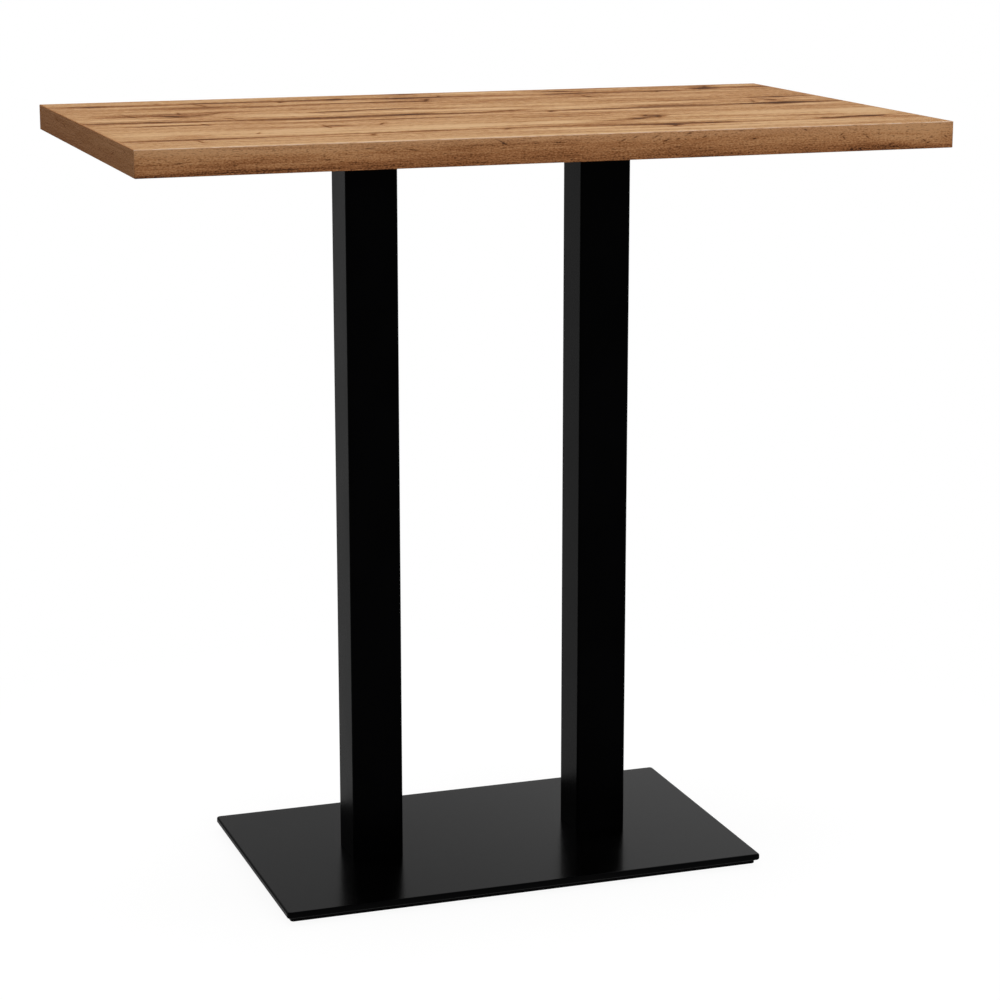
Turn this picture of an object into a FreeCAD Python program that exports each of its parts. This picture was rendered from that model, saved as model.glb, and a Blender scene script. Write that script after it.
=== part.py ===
import FreeCAD, Part
import math
import os

# Bar table: an oak-look top on two square steel columns over a flat steel base that stands on four
# levelling glides. Millimetres, +Z up. The floor is Z = 0, X runs along the top's length, the front
# is at -Y and the table's centre is X = Y = 0.

V = FreeCAD.Vector

# Tabletop
overall_height = 1160.0
top_length = 1200.0
top_width = 700.0
top_thickness = 38.0
top_arris_radius = 1.0
laminate_thickness = 0.8
edge_band_thickness = 2.0

# Square columns, with a tapped steel block welded in each end
column_side = 80.0
column_wall = 2.0
column_corner_radius = 5.5
column_spacing = 368.0
column_head_thickness = 8.0
column_foot_thickness = 10.0
block_weld_gap = 0.1

# Plates between the column heads and the tabletop
mounting_plate_length = 480.0
mounting_plate_width = 110.0
mounting_plate_thickness = 6.0
mounting_plate_corner_radius = 8.0

# Wood screws that hold the tabletop, in rows along each mounting plate
screw_rows_per_plate = 4
screw_edge_distance = 20.0
screw_shank_diameter = 5.0
screw_head_diameter = 10.0
screw_head_height = 3.2
screw_head_rounding = 2.2
screw_tip_length = 5.0
screw_hole_diameter = 6.0
screw_cross_width = 1.1
screw_cross_length = 5.6
screw_cross_depth = 1.6
wood_above_screws = 11.2
pilot_extra_depth = 1.0

# Bolts, countersunk screws and washers
bolt_diameter = 8.0
bolt_hole_diameter = 9.0
bolt_tip_chamfer = 0.8
head_bolt_spacing = 44.0
foot_bolt_spacing = 44.0
flush_head_diameter = 16.0
flush_head_recess = 0.2
flush_socket_width = 5.0
flush_socket_depth = 2.6
hex_head_width = 13.0
hex_head_height = 5.2
hex_face_share = 0.94
washer_diameter = 15.0
washer_bore = 8.4
washer_thickness = 0.8
thread_clearance = 0.05

# Base plate, and the ballast plate screwed under it
base_length = 758.0
base_width = 448.0
base_thickness = 10.0
base_corner_radius = 6.0
base_edge_radius = 3.0
base_skin_over_holes = 3.0
ballast_thickness = 6.5
ballast_setback = 6.5
ballast_corner_radius = 5.0
ballast_edge_chamfer = 0.6
spanner_hole_diameter = 24.0
ballast_screws_per_side = 3
ballast_screw_end_distance = 120.0
ballast_screw_side_distance = 45.0
tapped_hole_spare_depth = 1.0

# Levelling glides: the pad's height is the gap under the ballast plate when a glide is screwed in
glide_pad_height = 6.0
glide_pad_diameter = 34.0
glide_pad_rim_radius = 1.2
glide_sole_thickness = 1.6
glide_from_base_side = 60.0
glide_head_diameter = 16.0
glide_head_thickness = 2.0
glide_head_clearance = 0.1
glide_neck_clearance = 0.3

# What the cutters and roundings share
cut_overrun = 1.0
largest_rounding_share = 0.45
same_height = 0.001

# Heights above the floor, each piece on the one below
ballast_bottom = glide_pad_height
base_bottom = ballast_bottom + ballast_thickness
column_bottom = base_bottom + base_thickness
tapped_hole_top = column_bottom - base_skin_over_holes
top_underside = overall_height - top_thickness
column_top = top_underside - mounting_plate_thickness
core_bottom = top_underside + laminate_thickness
core_top = overall_height - laminate_thickness
screw_tip = core_top - wood_above_screws

# Plan sizes that follow from the pieces they lie in
core_length = top_length - 2 * edge_band_thickness
core_width = top_width - 2 * edge_band_thickness
tube_bore = column_side - 2 * column_wall
tube_bore_radius = max(column_corner_radius - column_wall, column_wall / 2)
ballast_length = base_length - 2 * ballast_setback
ballast_width = base_width - 2 * ballast_setback
tapped_diameter = bolt_diameter + 2 * thread_clearance
pilot_diameter = screw_shank_diameter + 2 * thread_clearance
column_centres = {"left": -column_spacing / 2, "right": column_spacing / 2}


def rounding(radius, wall):
    """A rounding, or as much of it as its wall can take."""
    return min(radius, largest_rounding_share * wall)


def box(length, width, bottom, top, x=0, y=0):
    """A block centred on x, y between two heights."""
    corner = V(x - length / 2, y - width / 2, bottom)
    return Part.makeBox(length, width, top - bottom, corner)


def cylinder(diameter, bottom, top, x=0, y=0):
    """An upright cylinder centred on x, y between two heights."""
    return Part.makeCylinder(diameter / 2, top - bottom, V(x, y, bottom))


def hexagon(width, bottom, top):
    """An upright hexagonal prism on the Z axis, as wide as the width across its flats."""
    radius = width / math.sqrt(3)
    corners = [V(radius * math.cos(k * math.pi / 3), radius * math.sin(k * math.pi / 3), bottom) for k in range(7)]
    return Part.Face(Part.makePolygon(corners)).extrude(V(0, 0, top - bottom))


def turned(outline):
    """A solid of revolution about Z from points of radius and height, which start and end on the axis."""
    points = [V(radius, 0, height) for radius, height in outline]
    face = Part.Face(Part.makePolygon(points + points[:1]))
    return face.revolve(V(0, 0, 0), V(0, 0, 1), 360)


def rounded_block(length, width, radius, bottom, top, x=0, y=0):
    """An upright block with round corners in plan, centred on x, y."""
    block = box(length, width, bottom, top, x, y)
    upright = [edge for edge in block.Edges if edge.BoundBox.ZLength > same_height]
    return block.makeFillet(radius, upright)


def level_edges(shape, height):
    """The edges that lie at a height."""
    bounds = [(edge, edge.BoundBox) for edge in shape.Edges]
    return [edge for edge, b in bounds if abs(b.ZMin - height) + abs(b.ZMax - height) < same_height]


def put(shape, x, y, z=0):
    """A copy of a shape moved to a place."""
    placed = shape.copy()
    placed.translate(V(x, y, z))
    return placed


def spread(count, span):
    """Evenly spaced places over a span that is centred on zero."""
    return [span * (k / (count - 1) - 1 / 2) for k in range(count)]


def four_corners(x_span, y_span, x=0, y=0):
    """The corners of a rectangle centred on x, y, starting at the front left and going round."""
    a = x_span / 2
    b = y_span / 2
    return [(x - a, y - b), (x + a, y - b), (x + a, y + b), (x - a, y + b)]


def head_bolt_places(x):
    """Where the bolts of the column at x go into its head."""
    return four_corners(head_bolt_spacing, head_bolt_spacing, x)


def foot_bolt_places(x):
    """Where the bolts of the column at x go into its foot."""
    return four_corners(foot_bolt_spacing, foot_bolt_spacing, x)


def tabletop_screw_places(x):
    """Where the wood screws pass through the mounting plate of the column at x."""
    across = mounting_plate_width / 2 - screw_edge_distance
    rows = spread(screw_rows_per_plate, mounting_plate_length - 2 * screw_edge_distance)
    return [(x + side * across, y) for side in (-1, 1) for y in rows]


def ballast_screw_places():
    """Where screws hold the ballast plate to the base plate."""
    across = ballast_width / 2 - ballast_screw_side_distance
    columns = spread(ballast_screws_per_side, ballast_length - 2 * ballast_screw_end_distance)
    return [(x, side * across) for side in (-1, 1) for x in columns]


def glide_places():
    """Where the levelling glides stand, starting at the front left and going round."""
    return four_corners(base_length - 2 * glide_from_base_side, base_width - 2 * glide_from_base_side)


def flush_bolt(length):
    """A countersunk bolt with a hexagon socket, pointing down, with its head's face at zero height."""
    head = flush_head_diameter / 2
    shank = bolt_diameter / 2
    tip = shank - bolt_tip_chamfer
    outline = [(0, 0), (head, 0), (shank, shank - head)]
    outline += [(shank, bolt_tip_chamfer - length), (tip, -length), (0, -length)]
    return turned(outline).cut(hexagon(flush_socket_width, -flush_socket_depth, cut_overrun))


def countersunk_hole(thickness):
    """The cutter for a flush bolt's hole, pointing down through a plate whose upper face is at zero height."""
    mouth = flush_head_diameter / 2 + flush_head_recess
    hole = bolt_hole_diameter / 2
    end = -thickness - cut_overrun
    return turned([(0, cut_overrun), (mouth, cut_overrun), (mouth, 0), (hole, hole - mouth), (hole, end), (0, end)])


def upside_down(shape):
    """A shape turned over about the X axis."""
    return shape.rotated(V(0, 0, 0), V(1, 0, 0), 180)


def hex_bolt(length):
    """A hexagon bolt pointing up, with the face under its head at zero height."""
    corner = hex_head_width / math.sqrt(3)
    face = hex_face_share * hex_head_width / 2
    chamfer = (corner - face) / math.sqrt(3)
    rim = [(0, -hex_head_height), (face, -hex_head_height), (corner, chamfer - hex_head_height), (corner, 0), (0, 0)]
    head = hexagon(hex_head_width, -hex_head_height, 0).common(turned(rim))
    shank = bolt_diameter / 2
    tip = shank - bolt_tip_chamfer
    shaft = turned([(0, 0), (shank, 0), (shank, length - bolt_tip_chamfer), (tip, length), (0, length)])
    return head.fuse(shaft)


def wood_screw(length):
    """A pan-head wood screw with a cross recess, pointing up, with the face under its head at zero height."""
    head = screw_head_diameter / 2
    shank = screw_shank_diameter / 2
    outline = [(0, -screw_head_height), (head, -screw_head_height), (head, 0), (shank, 0)]
    outline += [(shank, length - screw_tip_length), (0, length)]
    screw = turned(outline)
    rim = level_edges(screw, -screw_head_height)
    screw = screw.makeFillet(rounding(screw_head_rounding, 2 * screw_head_height), rim)
    cross_top = screw_cross_depth - screw_head_height
    cross_bottom = -screw_head_height - cut_overrun
    screw = screw.cut(box(screw_cross_length, screw_cross_width, cross_bottom, cross_top))
    return screw.cut(box(screw_cross_width, screw_cross_length, cross_bottom, cross_top))


def tabletop():
    """The core board, its two laminates and its four edge bands, cut from one top with eased arrises."""
    whole = box(top_length, top_width, top_underside, overall_height)
    whole = whole.makeFillet(top_arris_radius, whole.Edges)
    places = [place for x in column_centres.values() for place in tabletop_screw_places(x)]
    pilots = [cylinder(pilot_diameter, column_top, screw_tip + pilot_extra_depth, x, y) for x, y in places]
    underside = box(core_length, core_width, top_underside, core_bottom)
    side_y = (top_width - edge_band_thickness) / 2
    end_x = (top_length - edge_band_thickness) / 2
    pieces = {
        "tabletop_core": box(core_length, core_width, core_bottom, core_top).cut(pilots),
        "top_laminate": box(core_length, core_width, core_top, overall_height),
        "underside_laminate": underside.cut(pilots),
    }
    for name, y in (("front", -side_y), ("back", side_y)):
        band = box(top_length, edge_band_thickness, top_underside, overall_height, 0, y)
        pieces["edge_band_" + name] = band.common(whole)
    for name, x in (("left", -end_x), ("right", end_x)):
        band = box(edge_band_thickness, core_width, top_underside, overall_height, x)
        pieces["edge_band_" + name] = band.common(whole)
    return pieces


def mounting_plate(x):
    """The plate on the head of the column at x, with flush bolts from above and screw holes."""
    radius = mounting_plate_corner_radius
    plate = rounded_block(mounting_plate_width, mounting_plate_length, radius, column_top, top_underside, x)
    sunk = countersunk_hole(mounting_plate_thickness)
    cutters = [put(sunk, a, b, top_underside) for a, b in head_bolt_places(x)]
    bottom = column_top - cut_overrun
    top = top_underside + cut_overrun
    cutters += [cylinder(screw_hole_diameter, bottom, top, a, b) for a, b in tabletop_screw_places(x)]
    return plate.cut(cutters)


def column_tube(x):
    """A square tube with round corners."""
    outer = rounded_block(column_side, column_side, column_corner_radius, column_bottom, column_top, x)
    bottom = column_bottom - cut_overrun
    top = column_top + cut_overrun
    return outer.cut(rounded_block(tube_bore, tube_bore, tube_bore_radius, bottom, top, x))


def column_block(x, places, bottom, top):
    """A tapped block that is welded in the end of the tube at x."""
    side = tube_bore - 2 * block_weld_gap
    block = rounded_block(side, side, tube_bore_radius, bottom, top, x)
    return block.cut([cylinder(tapped_diameter, bottom - cut_overrun, top + cut_overrun, a, b) for a, b in places])


def base_plate():
    """The upper plate of the base, rounded all round, with bolt holes and blind tapped holes below."""
    plate = rounded_block(base_length, base_width, base_corner_radius, base_bottom, column_bottom)
    rims = level_edges(plate, base_bottom) + level_edges(plate, column_bottom)
    plate = plate.makeFillet(rounding(base_edge_radius, base_thickness), rims)
    under = base_bottom - cut_overrun
    places = [place for x in column_centres.values() for place in foot_bolt_places(x)]
    cutters = [cylinder(bolt_hole_diameter, under, column_bottom + cut_overrun, x, y) for x, y in places]
    tapped = glide_places() + ballast_screw_places()
    cutters += [cylinder(tapped_diameter, under, tapped_hole_top, x, y) for x, y in tapped]
    return plate.cut(cutters)


def ballast_plate():
    """The lower plate, set back all round, open under the column bolts and tapped for the glides."""
    plate = rounded_block(ballast_length, ballast_width, ballast_corner_radius, ballast_bottom, base_bottom)
    plate = plate.makeChamfer(ballast_edge_chamfer, level_edges(plate, ballast_bottom))
    under = ballast_bottom - cut_overrun
    over = base_bottom + cut_overrun
    places = [place for x in column_centres.values() for place in foot_bolt_places(x)]
    cutters = [cylinder(spanner_hole_diameter, under, over, x, y) for x, y in places]
    cutters += [cylinder(tapped_diameter, under, over, x, y) for x, y in glide_places()]
    sunk = upside_down(countersunk_hole(ballast_thickness))
    cutters += [put(sunk, x, y, ballast_bottom) for x, y in ballast_screw_places()]
    return plate.cut(cutters)


def tabletop_screws():
    """The wood screws, from under the mounting plates into the core."""
    screw = wood_screw(screw_tip - column_top)
    places = [place for x in column_centres.values() for place in tabletop_screw_places(x)]
    return Part.Compound([put(screw, x, y, column_top) for x, y in places])


def plate_bolts():
    """The flush bolts that hold the mounting plates on the column heads."""
    bolt = flush_bolt(mounting_plate_thickness - flush_head_recess + column_head_thickness)
    places = [place for x in column_centres.values() for place in head_bolt_places(x)]
    return Part.Compound([put(bolt, x, y, top_underside - flush_head_recess) for x, y in places])


def lock_washers():
    """The thin washers under the column bolts' heads."""
    bottom = base_bottom - washer_thickness
    hole = cylinder(washer_bore, bottom - cut_overrun, base_bottom + cut_overrun)
    washer = cylinder(washer_diameter, bottom, base_bottom).cut(hole)
    places = [place for x in column_centres.values() for place in foot_bolt_places(x)]
    return Part.Compound([put(washer, x, y) for x, y in places])


def column_bolts():
    """The hexagon bolts, from under the base plate into the column feet."""
    bolt = hex_bolt(washer_thickness + base_thickness + column_foot_thickness)
    places = [place for x in column_centres.values() for place in foot_bolt_places(x)]
    return Part.Compound([put(bolt, x, y, base_bottom - washer_thickness) for x, y in places])


def ballast_screws():
    """The flush screws, from under the ballast plate into the base plate."""
    head_face = ballast_bottom + flush_head_recess
    screw = upside_down(flush_bolt(tapped_hole_top - tapped_hole_spare_depth - head_face))
    return Part.Compound([put(screw, x, y, head_face) for x, y in ballast_screw_places()])


def glide_pad():
    """A round plastic foot on the Z axis, hollow for the stud's head, with a lip over it."""
    outer = glide_pad_diameter / 2
    mouth = bolt_diameter / 2 + glide_neck_clearance
    hollow = glide_head_diameter / 2 + glide_head_clearance
    ceiling = glide_sole_thickness + glide_head_thickness + 2 * glide_head_clearance
    outline = [(0, 0), (outer, 0), (outer, glide_pad_height), (mouth, glide_pad_height), (mouth, ceiling)]
    outline += [(hollow, ceiling), (hollow, glide_sole_thickness), (0, glide_sole_thickness)]
    pad = turned(outline)
    rims = [edge for edge in pad.Edges if edge.Closed and edge.BoundBox.XMax > outer - same_height]
    return pad.makeFillet(rounding(glide_pad_rim_radius, glide_sole_thickness * 2), rims)


def glide_stud():
    """A threaded stud on the Z axis with a flat head that turns in the foot."""
    head = glide_head_diameter / 2
    shank = bolt_diameter / 2
    tip = shank - bolt_tip_chamfer
    low = glide_sole_thickness + glide_head_clearance
    shoulder = low + glide_head_thickness
    top = tapped_hole_top - tapped_hole_spare_depth
    outline = [(0, low), (head, low), (head, shoulder), (shank, shoulder)]
    return turned(outline + [(shank, top - bolt_tip_chamfer), (tip, top), (0, top)])


def whole_table():
    """Every piece of the table by its name."""
    pieces = tabletop()
    for side, x in column_centres.items():
        pieces["mounting_plate_" + side] = mounting_plate(x)
        pieces["column_tube_" + side] = column_tube(x)
        head_bottom = column_top - column_head_thickness
        pieces["column_head_" + side] = column_block(x, head_bolt_places(x), head_bottom, column_top)
        foot_top = column_bottom + column_foot_thickness
        pieces["column_foot_" + side] = column_block(x, foot_bolt_places(x), column_bottom, foot_top)
    pieces["tabletop_screws"] = tabletop_screws()
    pieces["plate_bolts"] = plate_bolts()
    pieces["base_plate"] = base_plate()
    pieces["ballast_plate"] = ballast_plate()
    pieces["lock_washers"] = lock_washers()
    pieces["column_bolts"] = column_bolts()
    pieces["ballast_screws"] = ballast_screws()
    pad = glide_pad()
    stud = glide_stud()
    for number, (x, y) in enumerate(glide_places(), 1):
        pieces[f"glide_pad_{number}"] = put(pad, x, y)
        pieces[f"glide_stud_{number}"] = put(stud, x, y)
    return pieces


os.makedirs("parts", exist_ok=True)
for name, shape in whole_table().items():
    shape.exportStep(f"parts/{name}.step")
    print(f"{name}: {len(shape.Solids)} solid(s), {shape.Volume:.0f} cubic mm, valid {shape.isValid()}")
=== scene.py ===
"""Looks of the bar table: the finish of every piece, the studio round it and the camera.

Everything is in metres in the table's own frame: the floor is Z = 0, X runs along the top's length,
the front is at -Y and the table's centre is X = Y = 0.
"""

import logging
import math
from dataclasses import dataclass, field, replace
from enum import Enum

import bpy
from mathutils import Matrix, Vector


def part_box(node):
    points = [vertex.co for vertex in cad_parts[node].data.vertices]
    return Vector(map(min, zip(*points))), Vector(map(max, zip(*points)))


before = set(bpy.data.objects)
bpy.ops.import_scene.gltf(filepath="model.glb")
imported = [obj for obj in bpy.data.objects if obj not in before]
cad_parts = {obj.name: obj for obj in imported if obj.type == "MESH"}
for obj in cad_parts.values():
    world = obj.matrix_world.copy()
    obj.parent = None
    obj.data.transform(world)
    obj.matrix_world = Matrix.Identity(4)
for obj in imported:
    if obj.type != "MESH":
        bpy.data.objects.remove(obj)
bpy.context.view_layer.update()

LOG = logging.getLogger("bar_table")
MM = 0.001

Colour = tuple[float, float, float]
Place = tuple[float, float, float]
Reach = tuple[float, float]
Stops = list[tuple[float, Colour]]

WHITE = (1.0, 1.0, 1.0, 1.0)


class Side(Enum):
    """A side of the tabletop as seen from the front, with the way that it faces along X and Y."""

    FRONT = (0, -1)
    BACK = (0, 1)
    LEFT = (-1, 0)
    RIGHT = (1, 0)


def from_screen(red: int, green: int, blue: int) -> Colour:
    """The linear colour of a screen colour.

    Args:
        red: Screen red from 0 to 255.
        green: Screen green from 0 to 255.
        blue: Screen blue from 0 to 255.

    Returns:
        The same colour as linear red, green and blue from 0 to 1.
    """

    def linear(level: int) -> float:
        """One channel as linear light."""
        share = level / 255
        return share / 12.92 if share <= 0.04045 else ((share + 0.055) / 1.055) ** 2.4

    return (linear(red), linear(green), linear(blue))


@dataclass(frozen=True)
class Clouds:
    """Cloudy noise: clouds per metre along each axis, its finer layers and how strong these are."""

    scale: Place
    layers: float = 2.0
    strength: float = 0.5

    @classmethod
    def even(cls, scale: float, layers: float = 2.0, strength: float = 0.5) -> "Clouds":
        """Clouds as long as they are wide."""
        return cls((scale, scale, scale), layers, strength)


class Wire:
    """One socket of a node tree, used in sums as if it were a number."""

    def __init__(self, bench: "Bench", socket: bpy.types.NodeSocket) -> None:
        """Wraps a socket of the bench's tree."""
        self.bench = bench
        self.socket = socket

    def sum_node(self, operation: str, first: "Wire | float", second: "Wire | float") -> "Wire":
        """A Math node on two values.

        Args:
            operation: The Math node's operation.
            first: Its first value.
            second: Its second value.

        Returns:
            The node's value.
        """
        return self.bench.node("ShaderNodeMath", {"operation": operation}, {0: first, 1: second})

    def __add__(self, other: "Wire | float") -> "Wire":
        """This plus other."""
        return self.sum_node("ADD", self, other)

    __radd__ = __add__

    def __mul__(self, other: "Wire | float") -> "Wire":
        """This times other."""
        return self.sum_node("MULTIPLY", self, other)

    __rmul__ = __mul__

    def __sub__(self, other: "Wire | float") -> "Wire":
        """This less other."""
        return self.sum_node("SUBTRACT", self, other)

    def __rsub__(self, other: float) -> "Wire":
        """Other less this."""
        return self.sum_node("SUBTRACT", other, self)

    def least(self, other: "Wire | float") -> "Wire":
        """The smaller of this and other."""
        return self.sum_node("MINIMUM", self, other)

    def most(self, other: "Wire | float") -> "Wire":
        """The larger of this and other."""
        return self.sum_node("MAXIMUM", self, other)

    def sine(self) -> "Wire":
        """The sine of this."""
        return self.sum_node("SINE", self, 0.0)

    def fraction(self) -> "Wire":
        """What is left of this above its whole number."""
        return self.sum_node("FRACT", self, 0.0)

    def ease(self, start: float, end: float, low: float = 0.0, high: float = 1.0) -> "Wire":
        """A smooth step.

        Args:
            start: Where this value's step starts.
            end: Where it ends.
            low: The result before the start.
            high: The result past the end.

        Returns:
            The stepped value.
        """
        values = {"Value": self, "From Min": start, "From Max": end, "To Min": low, "To Max": high}
        return self.bench.node("ShaderNodeMapRange", {"interpolation_type": "SMOOTHSTEP"}, values)

    def vector(self, operation: str, second: "Wire | Place") -> "Wire":
        """A Vector Math node on this vector.

        Args:
            operation: The node's operation.
            second: Its second vector.

        Returns:
            The resulting vector.
        """
        return self.bench.node("ShaderNodeVectorMath", {"operation": operation}, {0: self, 1: second})

    def measure(self, operation: str, second: Place | Vector) -> "Wire":
        """A Vector Math node on this vector whose result is a number.

        Args:
            operation: The node's operation, such as a distance.
            second: Its second vector.

        Returns:
            The resulting number.
        """
        settings = {"operation": operation}
        return self.bench.node("ShaderNodeVectorMath", settings, {0: self, 1: second}, "Value")

    def axis(self, letter: str) -> "Wire":
        """One axis of this vector, X, Y or Z."""
        return self.bench.node("ShaderNodeSeparateXYZ", None, {0: self}, letter)

    def noise(self, clouds: Clouds, output: str = "Fac") -> "Wire":
        """Cloudy noise at this place.

        Args:
            clouds: The size and the layers of its clouds.
            output: Fac for one value, or Color for three.

        Returns:
            Values round 0.5.
        """
        stretched = self.vector("MULTIPLY", clouds.scale)
        sockets = {"Vector": stretched, "Scale": 1.0, "Detail": clouds.layers, "Roughness": clouds.strength}
        return self.bench.node("ShaderNodeTexNoise", {"noise_dimensions": "3D"}, sockets, output)


class Bench:
    """Builds the node tree of a material or a world."""

    def __init__(self, owner: bpy.types.Material | bpy.types.World) -> None:
        """Starts an empty tree.

        Args:
            owner: The material or world that the tree belongs to.
        """
        owner.use_nodes = True
        self.owner = owner
        self.tree = owner.node_tree
        self.tree.nodes.clear()

    @classmethod
    def for_material(cls, name: str) -> "Bench":
        """The bench of a new material with that name."""
        return cls(bpy.data.materials.new(name))

    def node(
        self,
        kind: str,
        settings: dict | None = None,
        sockets: dict | None = None,
        output: int | str = 0,
    ) -> Wire:
        """Adds any node.

        Args:
            kind: The node's type.
            settings: Its settings, set before its sockets. A ramp's stops are a list under "stops".
            sockets: The value or the wire of each socket, by name or number.
            output: The socket that the result wraps.

        Returns:
            The wrapped output socket.
        """
        made = self.tree.nodes.new(kind)
        for key, value in (settings or {}).items():
            if key == "stops":
                self.set_stops(made.color_ramp, value)
            else:
                setattr(made, key, value)
        for key, value in (sockets or {}).items():
            if isinstance(value, Wire):
                self.tree.links.new(value.socket, made.inputs[key])
            else:
                made.inputs[key].default_value = value
        return Wire(self, made.outputs[output])

    @staticmethod
    def set_stops(ramp: bpy.types.ColorRamp, stops: Stops) -> None:
        """Sets the stops of a colour ramp.

        Args:
            ramp: The ramp, which starts with two stops.
            stops: The place and the colour of each stop.
        """
        while len(ramp.elements) < len(stops):
            ramp.elements.new(0.5)
        for element, (place, colour) in zip(ramp.elements, stops):
            element.position = place
            element.color = (*colour, 1.0)

    def mix(
        self,
        share: Wire | float,
        first: Wire | Colour,
        second: Wire | Colour,
        blend: str = "MIX",
    ) -> Wire:
        """A Mix node on two colours.

        Args:
            share: How much of the second colour shows.
            first: The first colour.
            second: The second colour.
            blend: How the second is laid on the first.

        Returns:
            The mixed colour.
        """
        pair = [c if isinstance(c, Wire) else (*c, 1.0) for c in (first, second)]
        settings = {"data_type": "RGBA", "blend_type": blend}
        return self.node("ShaderNodeMix", settings, {"Factor": share, 6: pair[0], 7: pair[1]}, 2)

    def surface_place(self) -> Wire:
        """The point of the surface in the table's frame."""
        return self.node("ShaderNodeTexCoord", output="Object")

    def bump(self, height: Wire, distance: float) -> Wire:
        """The normal of a surface with a relief.

        Args:
            height: The relief, from 0 to 1.
            distance: The height in metres that 1 stands for.

        Returns:
            The bumped normal.
        """
        sockets = {"Strength": 1.0, "Distance": distance, "Height": height}
        return self.node("ShaderNodeBump", None, sockets)

    def finish(self, specular: float = 0.5, **values: Wire | float) -> bpy.types.Material:
        """Ends the tree in a Principled shader.

        Args:
            specular: The shader's specular level.
            values: The value or the wire of its other sockets, named with underscores.

        Returns:
            The finished material.
        """
        sockets = {name.replace("_", " ").title(): value for name, value in values.items()}
        sockets["Specular IOR Level"] = specular
        self.end(self.node("ShaderNodeBsdfPrincipled", None, sockets))
        return self.owner

    def end(self, shader: Wire, kind: str = "ShaderNodeOutputMaterial") -> None:
        """Links a shader to the tree's output."""
        out = self.tree.nodes.new(kind)
        self.tree.links.new(shader.socket, out.inputs["Surface"])


@dataclass(frozen=True)
class Mark:
    """A soft-edged ellipse on a wood face, in millimetres from where that face's measures start."""

    along: float
    down: float
    half_length: float
    half_width: float
    depth: float = 1.0
    turn: float = 0.0

    def nearness(self, place: Wire) -> Wire:
        """How far a place is from the mark's centre.

        Args:
            place: The place on the face, in metres along and down.

        Returns:
            0 at the centre and 1 on the outline.
        """
        turn = Vector((math.cos(math.radians(self.turn)), math.sin(math.radians(self.turn)), 0.0))
        long_way = turn / (self.half_length * MM)
        short_way = Vector((-turn.y, turn.x, 0.0)) / (self.half_width * MM)
        middle = Vector((self.along * MM, self.down * MM, 0.0))
        if self.turn:
            ways = [place.measure("DOT_PRODUCT", way) for way in (long_way, short_way)]
            local = place.bench.node("ShaderNodeCombineXYZ", None, {"X": ways[0], "Y": ways[1]})
        else:
            local = place.vector("MULTIPLY", (long_way.x, short_way.y, 0.0))
        return local.measure("DISTANCE", (middle.dot(long_way), middle.dot(short_way), 0.0))


@dataclass(frozen=True)
class Rag:
    """How the outline of a mark wanders: how far along each axis, in metres, and how quickly."""

    reach: Place
    scale: Place
    strength: float = 0.55

    def shift(self, place: Wire, seeded: Wire, share: float = 1.0) -> Wire:
        """Shifts a place to and fro, which makes the outlines of marks ragged.

        Args:
            place: The place to shift.
            seeded: Where the noise is read.
            share: How much of the reach is used.

        Returns:
            The shifted place.
        """
        colour = seeded.noise(Clouds(self.scale, strength=self.strength), "Color")
        centred = colour.vector("SUBTRACT", (0.5, 0.5, 0.5))
        amount = centred.vector("MULTIPLY", tuple(2 * share * way for way in self.reach))
        return place.vector("ADD", amount)


@dataclass(frozen=True)
class OakGrain:
    """The grain of an oak-look face: how strong and how fine each of its layers is."""

    ground: float = 0.375
    band_share: float = 1.34
    broad_share: float = 0.45
    line_share: float = 1.15
    fine_share: float = 0.8
    fleck_share: float = 0.22
    grit_share: float = 0.9
    ring_share: float = 0.22
    knot_share: float = 0.46
    check_share: float = 0.55
    fleck_reach: Reach = (0.54, 0.68)
    fleck_relief: float = 0.6
    line_contrast: float = 2.2
    fine_contrast: float = 1.4
    jag: float = 1.0
    sway_reach: float = 0.03
    sway: Clouds = Clouds((0.9, 3.0, 1.0), 1.0)
    broad: Clouds = Clouds((1.1, 26.0, 1.0))
    line: Clouds = Clouds((4.0, 130.0, 1.0), 3.0, 0.65)
    fine: Clouds = Clouds((24.0, 950.0, 1.0), 2.0, 0.6)
    fleck: Clouds = Clouds((110.0, 1000.0, 1.0), 1.0)
    grit: Clouds = Clouds((90.0, 200.0, 1.0), 2.0, 0.6)
    ring_patches: Clouds = Clouds((2.0, 18.0, 1.0))
    rings_per_metre: float = 46.0
    ring_crowding: float = 5.0
    ring_climb: Reach = (0.45, 0.92)
    ring_end: Reach = (0.94, 1.0)
    ring_patch_reach: Reach = (0.40, 0.62)
    band_rag: Rag = Rag((0.03, 0.006, 0.0), (13.0, 45.0, 1.0))
    knot_rag: Rag = Rag((0.007, 0.004, 0.0), (55.0, 150.0, 1.0))
    check_rag: Rag = Rag((0.003, 0.004, 0.0), (60.0, 60.0, 1.0))
    band_edge: Reach = (0.25, 1.2)
    knot_core: Reach = (0.35, 1.1)
    knot_halo: Reach = (0.7, 2.4)
    halo_share: float = 0.45
    ripple_share: float = 0.35
    knot_ripples: float = 9.0
    check_core: Reach = (0.3, 1.2)
    check_stain: Reach = (0.8, 3.0)
    stain_share: float = 0.2
    bulge_length: float = 3.2
    bulge_width: float = 3.0
    bulge_reach: Reach = (0.1, 1.0)
    bulge_share: float = 0.85


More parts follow.
